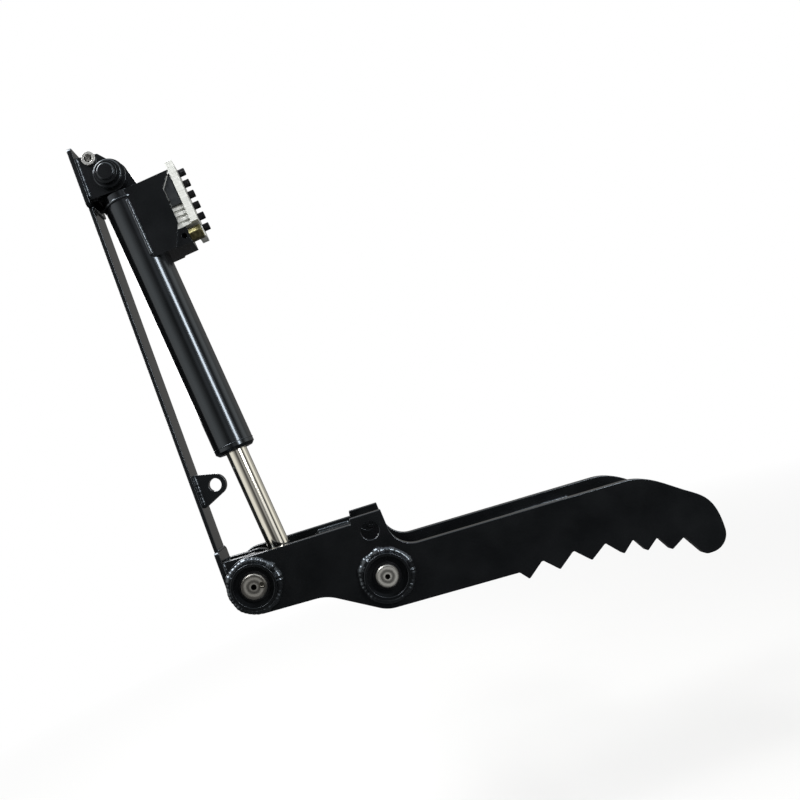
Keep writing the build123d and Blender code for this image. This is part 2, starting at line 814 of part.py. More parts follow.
cheek_face = valve_width / 2
with BuildPart() as rod_pipe:
    with BuildLine() as route:
        FilletPolyline(beside(pipe_start_out, cheek_face, pipe_start),
                       beside(pipe_start_out, pipe_out, pipe_start),
                       beside(0, pipe_out, pipe_start + pipe_drop), beside(0, pipe_out, pipe_end),
                       beside(0, boss_top, pipe_end), radius=pipe_bend)
    with BuildSketch(Plane(origin=route.line @ 0, z_dir=route.line % 0)):
        Circle(pipe_diameter / 2)
        Circle(pipe_bore / 2, mode=Mode.SUBTRACT)
    sweep()
save(rod_pipe, "rod_pipe")

with BuildPart() as pipe_clip:
    with BuildSketch(cylinder_cut(clip_place)):
        with Locations((0, -(barrel_radius + pipe_out + pipe_diameter) / 2)):
            Rectangle(clip_width, pipe_out + pipe_diameter - barrel_radius)
        with Locations((0, -pipe_out)):
            Circle(pipe_diameter / 2, mode=Mode.SUBTRACT)
    extrude(amount=clip_length)
save(pipe_clip, "pipe_clip")

# Rod

piston_radius = barrel_bore / 2 - running
rod_end = cylinder_length - rod_neck_length
with BuildPart() as piston_rod:
    with BuildSketch(cylinder_cut(piston_start + piston_length)):
        Circle(rod_diameter / 2)
    extrude(amount=rod_end - piston_start - piston_length)
    with BuildSketch(cylinder_cut(piston_start - nut_height)):
        Circle(piston_spigot / 2)
    extrude(amount=piston_length + nut_height)
save(piston_rod, "piston_rod")

seal_low = piston_start + piston_land
wear_low = piston_start + piston_length - 2 * wear_ring_width
grooves = (("piston_seal", seal_low, piston_seal_width, piston_seal_depth),
           ("piston_wear_ring", wear_low, wear_ring_width, wear_ring_depth))
with BuildPart() as piston:
    with BuildSketch(cylinder_cut(piston_start)):
        Circle(piston_radius)
        Circle(piston_spigot / 2 + running, mode=Mode.SUBTRACT)
    extrude(amount=piston_length)
    for name, start, width, depth in grooves:
        with BuildSketch(cylinder_cut(start)):
            Circle(piston_radius)
            Circle(piston_radius - depth, mode=Mode.SUBTRACT)
        extrude(amount=width, mode=Mode.SUBTRACT)
save(piston, "piston")

for name, start, width, depth in grooves:
    with BuildPart() as band:
        with BuildSketch(cylinder_cut(start)):
            Circle(piston_radius)
            Circle(piston_radius - depth, mode=Mode.SUBTRACT)
        extrude(amount=width)
    save(band, name)

with BuildPart() as piston_nut:
    with BuildSketch(cylinder_cut(piston_start - nut_height)):
        RegularPolygon(nut_across / 2, 6, major_radius=False)
        Circle(piston_spigot / 2 + running, mode=Mode.SUBTRACT)
    extrude(amount=nut_height)
save(piston_nut, "piston_nut")

rod_bush_radius = crank_radius + rod_bush_wall
with BuildPart() as rod_eye:
    with BuildSketch(side_at(crank, eye_half)):
        Circle(rod_bush_radius + rod_eye_wall)
    extrude(amount=eye_width)
    with BuildSketch(cylinder_cut(rod_end)):
        Circle(rod_diameter / 2 + rod_neck_step)
    extrude(amount=rod_neck_length - rod_bush_radius)
    with BuildSketch(side_at(crank, eye_half)):
        Circle(rod_bush_radius)
    extrude(amount=eye_width, mode=Mode.SUBTRACT)
save(rod_eye, "rod_eye")

with BuildPart() as rod_bush:
    with BuildSketch(side_at(crank, eye_half)):
        Circle(rod_bush_radius)
        Circle(crank_radius + running, mode=Mode.SUBTRACT)
    extrude(amount=eye_width)
save(rod_bush, "rod_bush")

rod_pin_half = thumb_inner - side_gap
with BuildPart() as rod_pin:
    with BuildSketch(side_at(crank, rod_pin_half)):
        Circle(crank_radius)
    extrude(amount=2 * rod_pin_half)
    chamfer(rod_pin.edges().filter_by(GeomType.CIRCLE), pin_chamfer)
save(rod_pin, "rod_pin")

print("cylinder length", round(cylinder_length, 2), "lean", round(degrees(lean), 3))
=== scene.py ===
import json
import math

import bmesh
import bpy
from mathutils import Matrix, Vector, noise


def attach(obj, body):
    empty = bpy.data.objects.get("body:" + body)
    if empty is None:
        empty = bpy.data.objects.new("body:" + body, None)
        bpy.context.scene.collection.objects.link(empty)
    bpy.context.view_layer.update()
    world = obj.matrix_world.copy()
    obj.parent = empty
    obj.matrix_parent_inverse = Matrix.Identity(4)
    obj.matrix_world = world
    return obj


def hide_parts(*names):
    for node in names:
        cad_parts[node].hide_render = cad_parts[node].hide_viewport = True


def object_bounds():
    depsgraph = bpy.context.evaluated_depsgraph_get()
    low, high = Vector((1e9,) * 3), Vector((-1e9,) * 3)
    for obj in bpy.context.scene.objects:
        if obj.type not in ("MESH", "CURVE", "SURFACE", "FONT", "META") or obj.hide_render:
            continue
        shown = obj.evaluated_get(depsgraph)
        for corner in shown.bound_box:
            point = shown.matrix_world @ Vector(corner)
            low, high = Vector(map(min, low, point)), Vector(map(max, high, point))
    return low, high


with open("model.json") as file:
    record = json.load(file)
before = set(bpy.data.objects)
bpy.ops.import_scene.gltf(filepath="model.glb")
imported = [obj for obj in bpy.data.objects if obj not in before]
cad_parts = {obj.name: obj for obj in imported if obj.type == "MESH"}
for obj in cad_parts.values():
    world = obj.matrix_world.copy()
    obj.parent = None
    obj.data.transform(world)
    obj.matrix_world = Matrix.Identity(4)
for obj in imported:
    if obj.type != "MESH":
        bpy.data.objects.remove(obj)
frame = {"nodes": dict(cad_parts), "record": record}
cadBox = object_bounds()
nodes = frame["nodes"]
record = frame["record"]
bodyOf = {node: body for body, names in record["behaviour"]["bodies"].items() for node in names}
print("frame loaded:", len(nodes), "pieces")

# the thumb's own axes start at its pivot, and the cylinder's at its base pin
axes = {
    "pivot": (0.065, 0, -0.037),
    "tilt": -2.7,
    "basePin": (0.062, 0, 0.831),
    "lean": 4.264,
    "crossPin": (0.25, 0, -0.057),   # from the pivot, in the thumb's axes
}


def turned(angle, axis):
    return Matrix.Rotation(math.radians(angle), 4, axis)


thumbFrame = Matrix.Translation(axes["pivot"]) @ turned(-axes["tilt"], "Y")
# out from the cylinder is X, the near side is +Y, and along it, down from the pin, is Z
cylinderFrame = Matrix.Translation(axes["basePin"]) @ turned(-axes["lean"], "Y") @ turned(180, "X")
# turns a piece made along Z so that it stands out of the near or the far face
facing = {"near": turned(90, "X"), "far": turned(-90, "X")}

# where the photograph was taken from; the picture leans, so the camera is rolled about its view
photo = {
    "eye": (0.3185, -1.512, 0.1493),
    "roll": -20.09,
    "lens": 32.92,
    "shift": (0.06875, 0.0625),
    "clip": (0.05, 60),
}

studio = {
    "fill": 0.42,         # light from all round, on matt surfaces
    # what polished surfaces see all round, by the angle from straight ahead of them to the right
    "ring": ((-180, "5f5f5f"), (-140, "2f2f2f"), (-108, "2f2f2e"), (-92, "a8a7a4"), (-78, "d2d1cd"),
             (-55, "e5e4e0"), (-42, "d2d1cd"), (-28, "a1a09d"), (-12, "535251"), (-3, "3f3f3f"),
             (5, "898989"), (12, "a1a1a1"), (20, "757575"), (28, "808080"), (35, "e5e5e5"),
             (52, "e5e5e5"), (60, "3a3a3a"), (67, "353533"), (75, "a1a09d"), (84, "eeede8"),
             (98, "eeede8"), (106, "afaeaa"), (128, "a1a09d"), (150, "757472"), (180, "5f5e5c")),
    # and the same lower down, where nothing bright stands in front
    "lowRing": ((-180, "4c4c4c"), (-140, "282828"), (-108, "2f2f2e"), (-92, "a1a09d"), (-78, "d2d1cd"),
                (-45, "e5e4e0"), (-36, "c7c6c3"), (-26, "4c4b4a"), (-20, "20201f"), (24, "202020"),
                (32, "a1a1a1"), (38, "c7c7c7"), (52, "c7c7c7"), (60, "3a3a3a"), (67, "353533"),
                (75, "a1a09d"), (84, "e5e4df"), (98, "e5e4df"), (106, "a1a09d"), (140, "6a6967"),
                (180, "4c4b49")),
    "ringStrength": 1.4,
    "sky": "dfe6ec",
    "lowDark": 0.12,      # below the horizon they see a dark yard
    # heights in the view, from -1 to 1, over which one of these turns into the next
    "yardToRing": (-0.4, -0.25),
    "lowToRing": (-0.12, -0.02),
    "ringToSky": (0.5, 0.8),
    "white": "ffffff",
    "floorDrop": 0.42,    # floor below the lowest point of the thumb
    "floorRadius": 3.4,
    "floorMiddle": 0.35,
    "floorMatt": "8e8e8d",
    "floorLift": 0.6,     # glow that brings the floor near the white of the background
    "floorMirrored": "3a3a3a",
    "fade": (1.0, 3.2),   # the floor turns into the white background between these distances
}

lamps = {
    "strip": {"place": (1.84, -1.98, 1.2), "aim": (0.1, 0, 0.5), "size": (0.5, 1.7), "power": 52},
    "overhead": {"place": (-0.85, -0.25, 2.35), "aim": (0.35, 0, 0), "size": (1.9, 1.2), "power": 110},
    "behind": {"place": (-0.7, 2.4, 1.3), "aim": (0.3, 0, 0.2), "size": (1.2, 1.6), "power": 30},
}


def hexColour(code):
    parts = [int(code[i:i + 2], 16) / 255 for i in (0, 2, 4)]
    linear = [c / 12.92 if c <= 0.04045 else ((c + 0.055) / 1.055) ** 2.4 for c in parts]
    return (*linear, 1)


# settings are a node's own options or its inputs by name or number; links feed its inputs
def addNode(tree, kind, settings=None, links=None):
    node = tree.nodes.new(kind)
    for key, value in (settings or {}).items():
        if key == "stops":
            ramp = node.color_ramp
            while len(ramp.elements) < len(value):
                ramp.elements.new(0.5)
            for element, (position, code) in zip(ramp.elements, value):
                element.position, element.color = position, hexColour(code)
        elif isinstance(key, str) and hasattr(node, key):
            setattr(node, key, value)
        else:
            node.inputs[key].default_value = value
    for key, source in (links or {}).items():
        tree.links.new(source, node.inputs[key])
    return node


def makeCamera():
    data = bpy.data.cameras.new("camera")
    data.lens = photo["lens"]
    data.shift_x, data.shift_y = photo["shift"]
    data.clip_start, data.clip_end = photo["clip"]
    camera = bpy.data.objects.new("camera", data)
    camera.matrix_world = Matrix.Translation(photo["eye"]) @ turned(90, "X") @ turned(photo["roll"], "Z")
    bpy.context.collection.objects.link(camera)
    bpy.context.scene.camera = camera


def makeLamps():
    for name, lamp in lamps.items():
        data = bpy.data.lights.new(name, "AREA")
        data.shape = "RECTANGLE"
        data.size, data.size_y = lamp["size"]
        data.energy = lamp["power"]
        panel = bpy.data.objects.new(name, data)
        panel.location = lamp["place"]
        way = Vector(lamp["aim"]) - Vector(lamp["place"])
        panel.rotation_euler = way.to_track_quat("-Z", "Y").to_euler()
        panel.visible_camera = False
        bpy.context.collection.objects.link(panel)


# white behind the thumb, an even fill on matt surfaces, and a darker room for what mirrors it
def makeWorld():
    world = bpy.data.worlds.new("studio")
    world.use_nodes = True
    bpy.context.scene.world = world
    tree = world.node_tree
    tree.nodes.clear()
    seen = addNode(tree, "ShaderNodeLightPath")
    way = addNode(tree, "ShaderNodeSeparateXYZ",
                  links={0: addNode(tree, "ShaderNodeTexCoord").outputs["Generated"]})
    ahead = addNode(tree, "ShaderNodeMath", {"operation": "MULTIPLY", 1: -1}, {0: way.outputs["Y"]})
    turn = addNode(tree, "ShaderNodeMath", {"operation": "ARCTAN2"},
                   {0: way.outputs["X"], 1: ahead.outputs["Value"]})
    place = addNode(tree, "ShaderNodeMapRange", {"From Min": -math.pi, "From Max": math.pi},
                    {"Value": turn.outputs["Value"]})
    rings = {}
    for name in ("lowRing", "ring"):
        stops = [((angle + 180) / 360, code) for angle, code in studio[name]]
        rings[name] = addNode(tree, "ShaderNodeValToRGB", {"stops": stops},
                              {"Fac": place.outputs["Result"]}).outputs["Color"]
    low, top = studio["lowToRing"]
    level = addNode(tree, "ShaderNodeMapRange", {"From Min": low, "From Max": top},
                    {"Value": way.outputs["Z"]})
    ring = addNode(tree, "ShaderNodeMixRGB",
                   links={"Fac": level.outputs["Result"], "Color1": rings["lowRing"],
                          "Color2": rings["ring"]})
    low, top = studio["yardToRing"]
    strength = addNode(tree, "ShaderNodeMapRange",
                       {"From Min": low, "From Max": top, "To Min": studio["lowDark"],
                        "To Max": studio["ringStrength"]}, {"Value": way.outputs["Z"]})
    low, top = studio["ringToSky"]
    high = addNode(tree, "ShaderNodeMapRange", {"From Min": low, "From Max": top},
                   {"Value": way.outputs["Z"]})
    room = addNode(tree, "ShaderNodeMixRGB", {"Color2": hexColour(studio["sky"])},
                   {"Fac": high.outputs["Result"], "Color1": ring.outputs["Color"]})
    mirrored = addNode(tree, "ShaderNodeBackground",
                       links={"Color": room.outputs["Color"], "Strength": strength.outputs["Result"]})
    white = hexColour(studio["white"])
    fill = addNode(tree, "ShaderNodeBackground", {"Color": white, "Strength": studio["fill"]})
    backdrop = addNode(tree, "ShaderNodeBackground", {"Color": white, "Strength": 1})
    lit = addNode(tree, "ShaderNodeMixShader",
                  links={0: seen.outputs["Is Glossy Ray"], 1: fill.outputs[0], 2: mirrored.outputs[0]})
    direct = addNode(tree, "ShaderNodeMath", {"operation": "MAXIMUM"},
                     {0: seen.outputs["Is Camera Ray"], 1: seen.outputs["Is Transmission Ray"]})
    shown = addNode(tree, "ShaderNodeMixShader",
                    links={0: direct.outputs["Value"], 1: lit.outputs[0], 2: backdrop.outputs[0]})
    addNode(tree, "ShaderNodeOutputWorld", links={"Surface": shown.outputs[0]})


# a matt floor that keeps the thumb's shadow and fades into the white; what mirrors it sees it dark
def makeFloor():
    middle = studio["floorMiddle"]
    bm = bmesh.new()
    bmesh.ops.create_circle(bm, cap_ends=True, segments=96, radius=studio["floorRadius"])
    bm.transform(Matrix.Translation((middle, 0, cadBox[0].z - studio["floorDrop"])))
    mesh = bpy.data.meshes.new("floor")
    bm.to_mesh(mesh)
    bm.free()
    floor = bpy.data.objects.new("floor", mesh)
    bpy.context.collection.objects.link(floor)
    material = bpy.data.materials.new("paleFloor")
    material.use_nodes = True
    tree = material.node_tree
    tree.nodes.clear()
    seen = addNode(tree, "ShaderNodeLightPath")
    place = addNode(tree, "ShaderNodeMapping", {"Location": (-middle, 0, 0), "Scale": (1, 1, 0)},
                    {"Vector": addNode(tree, "ShaderNodeTexCoord").outputs["Object"]})
    reach = addNode(tree, "ShaderNodeVectorMath", {"operation": "LENGTH"}, {0: place.outputs["Vector"]})
    start, end = studio["fade"]
    fade = addNode(tree, "ShaderNodeMapRange", {"From Min": start, "From Max": end},
                   {"Value": reach.outputs["Value"]})
    matt = addNode(tree, "ShaderNodeBsdfDiffuse", {"Color": hexColour(studio["floorMatt"])})
    lift = addNode(tree, "ShaderNodeMath", {"operation": "MULTIPLY", 1: studio["floorLift"]},
                   {0: seen.outputs["Is Camera Ray"]})
    white = hexColour(studio["white"])
    glow = addNode(tree, "ShaderNodeEmission", {"Color": white}, {"Strength": lift.outputs["Value"]})
    pale = addNode(tree, "ShaderNodeAddShader", links={0: matt.outputs[0], 1: glow.outputs[0]})
    dark = addNode(tree, "ShaderNodeBsdfDiffuse", {"Color": hexColour(studio["floorMirrored"])})
    near = addNode(tree, "ShaderNodeMixShader",
                   links={0: seen.outputs["Is Glossy Ray"], 1: pale.outputs[0], 2: dark.outputs[0]})
    backdrop = addNode(tree, "ShaderNodeEmission", {"Color": white, "Strength": 1})
    far = addNode(tree, "ShaderNodeMath", {"operation": "MULTIPLY"},
                  {0: fade.outputs["Result"], 1: seen.outputs["Is Camera Ray"]})
    shown = addNode(tree, "ShaderNodeMixShader",
                    links={0: far.outputs["Value"], 1: near.outputs[0], 2: backdrop.outputs[0]})
    addNode(tree, "ShaderNodeOutputMaterial", links={"Surface": shown.outputs[0]})
    mesh.materials.append(material)


makeCamera()
makeLamps()
makeWorld()
makeFloor()
bpy.context.scene.view_settings.view_transform = "Standard"
print("studio ready")


def startMaterial(name):
    material = bpy.data.materials.new(name)
    material.use_nodes = True
    tree = material.node_tree
    place = addNode(tree, "ShaderNodeTexCoord").outputs["Object"]
    return material, tree, tree.nodes["Principled BSDF"], place


# black gloss enamel sprayed over welded plate: deep black faces, a faint orange peel that breaks up the
# lamps' reflections, and a grey painted along the corners, partly a coat drawn thin and partly a painted
# highlight
enamel = {
    "colours": ("0a0b0c", "111213"),
    "thinCoatAndSheen": "2c2d2d",
    "thinCoatAndSheenWidth": 0.0011,
    "peelSize": 0.0045,
    "peelDepth": 0.000012,
    "clouds": 0.06,
    "gloss": (0.11, 0.2),
    "specular": 0.62,
}


# what every coat of enamel shares
coat = {
    "cloudStops": (0.3, 0.7),
    # cosine of a normal's turn at a corner, where the painted grey of the corners (thin coat and painted
    # highlight) starts and where it is full
    "cornerBend": (0.985, 0.9),
    "patchScale": 120,
    "peelStrength": 0.6,
    # painted reflection colour: the blue in every coat's reflections is set here, not left to the sky
    "tint": "e6f3ff",             # of its reflections: a little blue, from the sky
}


def makeEnamel(name, values):
    material, tree, shader, place = startMaterial(name)
    clouds = addNode(tree, "ShaderNodeTexNoise", {"Scale": 1 / values["clouds"], "Detail": 3},
                     {"Vector": place})
    stops = list(zip(coat["cloudStops"], values["colours"]))
    body = addNode(tree, "ShaderNodeValToRGB", {"stops": stops},
                   {"Fac": clouds.outputs[0]})
    # grey painted in patches where the surface turns at a corner: partly thin coat, partly a painted
    # highlight along the edges
    edge = addNode(tree, "ShaderNodeBevel", {"samples": 4, "Radius": values["thinCoatAndSheenWidth"]})
    flat = addNode(tree, "ShaderNodeNewGeometry")
    bend = addNode(tree, "ShaderNodeVectorMath", {"operation": "DOT_PRODUCT"},
                   {0: edge.outputs["Normal"], 1: flat.outputs["Normal"]})
    patchy = addNode(tree, "ShaderNodeTexNoise", {"Scale": coat["patchScale"], "Detail": 4},
                     {"Vector": place})
    start, end = coat["cornerBend"]
    cornerThinAndSheen = addNode(tree, "ShaderNodeMapRange", {"From Min": start, "From Max": end},
                   {"Value": bend.outputs["Value"]})
    patchyThinAndSheen = addNode(tree, "ShaderNodeMath", {"operation": "MULTIPLY"},
                   {0: cornerThinAndSheen.outputs["Result"], 1: patchy.outputs[0]})
    colour = addNode(tree, "ShaderNodeMixRGB", {"Color2": hexColour(values["thinCoatAndSheen"])},
                     {"Fac": patchyThinAndSheen.outputs["Value"], "Color1": body.outputs["Color"]})
    tree.links.new(colour.outputs["Color"], shader.inputs["Base Color"])
    glossy, dullest = values["gloss"]
    dull = addNode(tree, "ShaderNodeMapRange", {"To Min": glossy, "To Max": dullest},
                   {"Value": clouds.outputs[0]})
    tree.links.new(dull.outputs["Result"], shader.inputs["Roughness"])
    peel = addNode(tree, "ShaderNodeTexNoise", {"Scale": 1 / values["peelSize"], "Detail": 1},
                   {"Vector": place})
    bump = addNode(tree, "ShaderNodeBump",
                   {"Strength": coat["peelStrength"], "Distance": values["peelDepth"]},
                   {"Height": peel.outputs[0]})
    tree.links.new(bump.outputs["Normal"], shader.inputs["Normal"])
    shader.inputs["Specular IOR Level"].default_value = values["specular"]
    shader.inputs["Specular Tint"].default_value = hexColour(coat["tint"])
    return material


# the same enamel over weld metal lies thicker and rounder, so its ripples catch small bright spots; the
# lighter grey painted on its corners is partly thin coat and partly a painted highlight
weldEnamel = {
    "colours": ("0c0d0e", "141516"),
    "thinCoatAndSheen": "4a4b4b",
    "thinCoatAndSheenWidth": 0.0006,
    "peelSize": 0.0016,
    "peelDepth": 0.00006,
    "clouds": 0.02,
    "gloss": (0.16, 0.3),
    "specular": 1.0,
}

# enamel on a sand casting: the grain of the mould shows through as a coarse, dull pimpling
castEnamel = {
    "colours": ("0a0a0a", "161615"),
    "thinCoatAndSheen": "30302e",
    "thinCoatAndSheenWidth": 0.001,
    "peelSize": 0.0028,
    "peelDepth": 0.0003,
    "clouds": 0.012,
    "gloss": (0.38, 0.6),
    "specular": 0.35,
}


# steel faced on a lathe: tool rings round the centre, drawn coarse enough to show, a dull grey with
# brighter bands, and old grease in the centre hole
lathed = {
    "rings": {"pitch": 0.0016, "distortion": 0.6},
    "bands": {"pitch": 0.011, "distortion": 1.5},
    "bandStops": (0.1, 0.9),
    "depth": 0.00002,
    "strength": 0.7,
    "rough": (0.34, 0.5),
    "grease": "0a0907",
    "greaseReach": 1.35,   # how far the grease fades out, in radii of the hole
}


def makeTurnedSteel(name, centre, tones, holeRadius):
    material, tree, shader, place = startMaterial(name)
    spot = addNode(tree, "ShaderNodeMapping",
                   {"Location": (-centre[0], 0, -centre[2]), "Scale": (1, 0, 1)},
                   {"Vector": place})
    reach = addNode(tree, "ShaderNodeVectorMath", {"operation": "LENGTH"}, {0: spot.outputs["Vector"]})
    waves = {}
    for kind in ("rings", "bands"):
        # at a scale of 1 this texture repeats every pi / 10
        settings = {"wave_type": "RINGS", "rings_direction": "Y",
                    "Distortion": lathed[kind]["distortion"], "Scale": math.pi / 10 / lathed[kind]["pitch"]}
        waves[kind] = addNode(tree, "ShaderNodeTexWave", settings,
                              {"Vector": spot.outputs["Vector"]}).outputs[1]
    steel = addNode(tree, "ShaderNodeValToRGB", {"stops": list(zip(lathed["bandStops"], tones))},
                    {"Fac": waves["bands"]})
    hole = addNode(tree, "ShaderNodeMapRange",
                   {"From Min": holeRadius, "From Max": holeRadius * lathed["greaseReach"]},
                   {"Value": reach.outputs["Value"]})
    colour = addNode(tree, "ShaderNodeMixRGB", {"Color1": hexColour(lathed["grease"])},
                     {"Fac": hole.outputs["Result"], "Color2": steel.outputs["Color"]})
    tree.links.new(colour.outputs["Color"], shader.inputs["Base Color"])
    glossy, dullest = lathed["rough"]
    dull = addNode(tree, "ShaderNodeMapRange", {"To Min": glossy, "To Max": dullest},
                   {"Value": waves["bands"]})
    tree.links.new(dull.outputs["Result"], shader.inputs["Roughness"])
    bump = addNode(tree, "ShaderNodeBump", {"Strength": lathed["strength"], "Distance": lathed["depth"]},
                   {"Height": waves["rings"]})
    tree.links.new(bump.outputs["Normal"], shader.inputs["Normal"])
    shader.inputs["Metallic"].default_value = 1
    return material


# hard chrome ground round the rod: a mirror with hairline rings that blur it a little along its length
chrome = {
    "colour": "d6d3c8",
    "hairlines": (3, 3, 2400),   # across, across and along the rod
    "rough": (0.07, 0.12),
}


def makeHardChrome():
    material, tree, shader, place = startMaterial("hardChrome")
    along = addNode(tree, "ShaderNodeMapping",
                    {"Rotation": (0, math.radians(axes["lean"]), 0), "Scale": chrome["hairlines"]},
                    {"Vector": place})
    lines = addNode(tree, "ShaderNodeTexNoise", {"Scale": 1, "Detail": 3},
                    {"Vector": along.outputs["Vector"]})
    glossy, dullest = chrome["rough"]
    dull = addNode(tree, "ShaderNodeMapRange", {"To Min": glossy, "To Max": dullest},
                   {"Value": lines.outputs[0]})
    tree.links.new(dull.outputs["Result"], shader.inputs["Roughness"])
    shader.inputs["Base Color"].default_value = hexColour(chrome["colour"])
    shader.inputs["Metallic"].default_value = 1
    return material


# milled and clear anodised aluminium: nearly white, soft, with the cutter's lines across each face
milled = {
    "tones": ("c6c8c3", "dadbd7"),
    "stops": (0.25, 0.75),
    "cutterLines": (40, 90, 420),
    "depth": 0.00003,
    "strength": 0.5,
    "rough": (0.42, 0.58),
    "metal": 0.6,                # the anodised layer is only half a metal to the eye
}


def makeMilledAluminium():
    material, tree, shader, place = startMaterial("milledAluminium")
    across = addNode(tree, "ShaderNodeMapping",
                     {"Rotation": (0, math.radians(axes["lean"]), 0), "Scale": milled["cutterLines"]},
                     {"Vector": place})
    lines = addNode(tree, "ShaderNodeTexNoise", {"Scale": 1, "Detail": 2},
                    {"Vector": across.outputs["Vector"]})
    tint = addNode(tree, "ShaderNodeValToRGB", {"stops": list(zip(milled["stops"], milled["tones"]))},
                   {"Fac": lines.outputs[0]})
    tree.links.new(tint.outputs["Color"], shader.inputs["Base Color"])
    glossy, dullest = milled["rough"]
    dull = addNode(tree, "ShaderNodeMapRange", {"To Min": glossy, "To Max": dullest},
                   {"Value": lines.outputs[0]})
    tree.links.new(dull.outputs["Result"], shader.inputs["Roughness"])
    bump = addNode(tree, "ShaderNodeBump", {"Strength": milled["strength"], "Distance": milled["depth"]},
                   {"Height": lines.outputs[0]})
    tree.links.new(bump.outputs["Normal"], shader.inputs["Normal"])
    shader.inputs["Metallic"].default_value = milled["metal"]
    return material


# plain finishes that differ only in these values; grain is the size of their surface marks in metres
plainFinishes = {
    # zinc plate with a yellow passivate: a greenish gold that clouds over its flats
    "yellowZinc": {"tones": ("5f5b3c", "96906a"), "metal": 1, "rough": (0.34, 0.5),
                   "grain": 0.006, "depth": 0.00003},
    # black oxide on alloy steel: oily blue-black, dull on the knurl and shiny where a key has rubbed
    "blackOxide": {"tones": ("121214", "222225"), "metal": 0.7, "rough": (0.3, 0.5),
                   "grain": 0.002, "depth": 0.00003},
    # phosphated spring steel: an even charcoal grey
    "springSteel": {"tones": ("26272a", "3a3b3e"), "metal": 1, "rough": (0.3, 0.45),
                    "grain": 0.0015, "depth": 0.00002},
    # drawn steel tube cut square: light grey, with saw marks on its end
    "drawnSteel": {"tones": ("9a9a98", "d0d0cd"), "metal": 1, "rough": (0.25, 0.42),
                   "grain": 0.002, "depth": 0.00004},
    # hardened bush with an oil film
    "oiledSteel": {"tones": ("55524c", "7d7a72"), "metal": 1, "rough": (0.2, 0.35),
                   "grain": 0.008, "depth": 0.00002},
    # moulded nitrile rubber: soft black with no shine
    "nitrileRubber": {"tones": ("0b0b0b", "151515"), "metal": 0, "rough": (0.6, 0.8),
                      "grain": 0.0015, "depth": 0.00003},
    # filled nylon of the wear ring and the piston seal: dark grey, waxy
    "filledNylon": {"tones": ("1d1e20", "2c2d2f"), "metal": 0, "rough": (0.45, 0.6),
                    "grain": 0.003, "depth": 0.00003},
}


def makePlainFinish(name, values):
    material, tree, shader, place = startMaterial(name)
    grain = addNode(tree, "ShaderNodeTexNoise", {"Scale": 1 / values["grain"], "Detail": 4},
                    {"Vector": place})
    darker, lighter = values["tones"]
    tint = addNode(tree, "ShaderNodeValToRGB", {"stops": [(0.3, darker), (0.7, lighter)]},
                   {"Fac": grain.outputs[0]})
    tree.links.new(tint.outputs["Color"], shader.inputs["Base Color"])
    glossy, dullest = values["rough"]
    dull = addNode(tree, "ShaderNodeMapRange", {"To Min": glossy, "To Max": dullest},
                   {"Value": grain.outputs[0]})
    tree.links.new(dull.outputs["Result"], shader.inputs["Roughness"])
    bump = addNode(tree, "ShaderNodeBump", {"Strength": 0.5, "Distance": values["depth"]},
                   {"Height": grain.outputs[0]})
    tree.links.new(bump.outputs["Normal"], shader.inputs["Normal"])
    shader.inputs["Metallic"].default_value = values["metal"]
    return material


crossCentre = thumbFrame @ Vector(axes["crossPin"])
# each pin's end: its centre, its darker and lighter steel, and the radius of its centre hole
pinEnds = {
    "turnedPivotPin": (axes["pivot"], ("8c8a85", "aeaca6"), 0.005),
    "turnedCrossPin": (crossCentre, ("a3a29d", "cccbc5"), 0.0045),
}
finish = {name: makePlainFinish(name, values) for name, values in plainFinishes.items()}
finish["blackEnamel"] = makeEnamel("blackEnamel", enamel)
finish["weldEnamel"] = makeEnamel("weldEnamel", weldEnamel)
finish["castEnamel"] = makeEnamel("castEnamel", castEnamel)
finish["hardChrome"] = makeHardChrome()
finish["milledAluminium"] = makeMilledAluminium()
for name, values in pinEnds.items():
    finish[name] = makeTurnedSteel(name, *values)
print("finishes ready:", len(finish))


# corners sharper than smoothBelow stay sharp, and the rest are shaded smooth
def addPiece(name, bm, body, finishName, replaced=(), smoothBelow=48):
    mesh = bpy.data.meshes.new(name)
    bm.to_mesh(mesh)
    bm.free()
    mesh.polygons.foreach_set("use_smooth", [True] * len(mesh.polygons))
    mesh.set_sharp_from_angle(angle=math.radians(smoothBelow))
    mesh.materials.append(finish[finishName])
    piece = bpy.data.objects.new(name, mesh)
    bpy.context.collection.objects.link(piece)
    normals = piece.modifiers.new("faceNormals", "WEIGHTED_NORMAL")
    normals.keep_sharp = True
    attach(piece, body)
    if replaced:
        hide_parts(*replaced)


# rounds every corner that is sharper than the given angle
def softenEdges(bm, width, sharperThan=30):
    edges = [edge for edge in bm.edges
             if len(edge.link_faces) == 2 and edge.calc_face_angle() > math.radians(sharperThan)]
    bmesh.ops.bevel(bm, geom=edges, offset=width, offset_type="OFFSET", segments=2, profile=0.5,
                    affect="EDGES", clamp_overlap=True, material=-1)


# the solids' corners are broken as those of real plates, castings and machined blocks are
corners = {
    "flameCut": 0.0013,
    "machined": 0.0007,
    "fine": 0.0004,
}

dressed = {
    "blackEnamel": {
        "flameCut": ["side_plate_near", "side_plate_far", "base_bar", "lower_pad", "upper_pad",
                     "lower_ear_near", "lower_ear_far", "upper_ear_near", "upper_ear_far", "lock_lug",
                     "valve_bracket", "top_plate", "belly_plate", "spine_plate", "tine_web", "tip_plate",
                     "crank_block_near", "crank_block_far", "ear_plug", "pipe_clip"],
        "machined": ["pivot_collar_near", "pivot_collar_far", "cross_collar_near", "cross_collar_far",
                     "upper_boss_near", "upper_boss_far", "base_pin", "base_pin_ring", "base_cap", "gland",
                     "rod_port", "port_block", "rod_eye"],
    },
    "castEnamel": {"fine": ["valve_cap"]},
    "milledAluminium": {"machined": ["valve_manifold", "valve_cover"]},
    "drawnSteel": {"machined": ["ear_tube"]},
    "springSteel": {"fine": ["pivot_ring_near", "pivot_ring_far", "cross_ring_near", "cross_ring_far"]},
    "nitrileRubber": {"fine": ["rod_wiper"]},
}


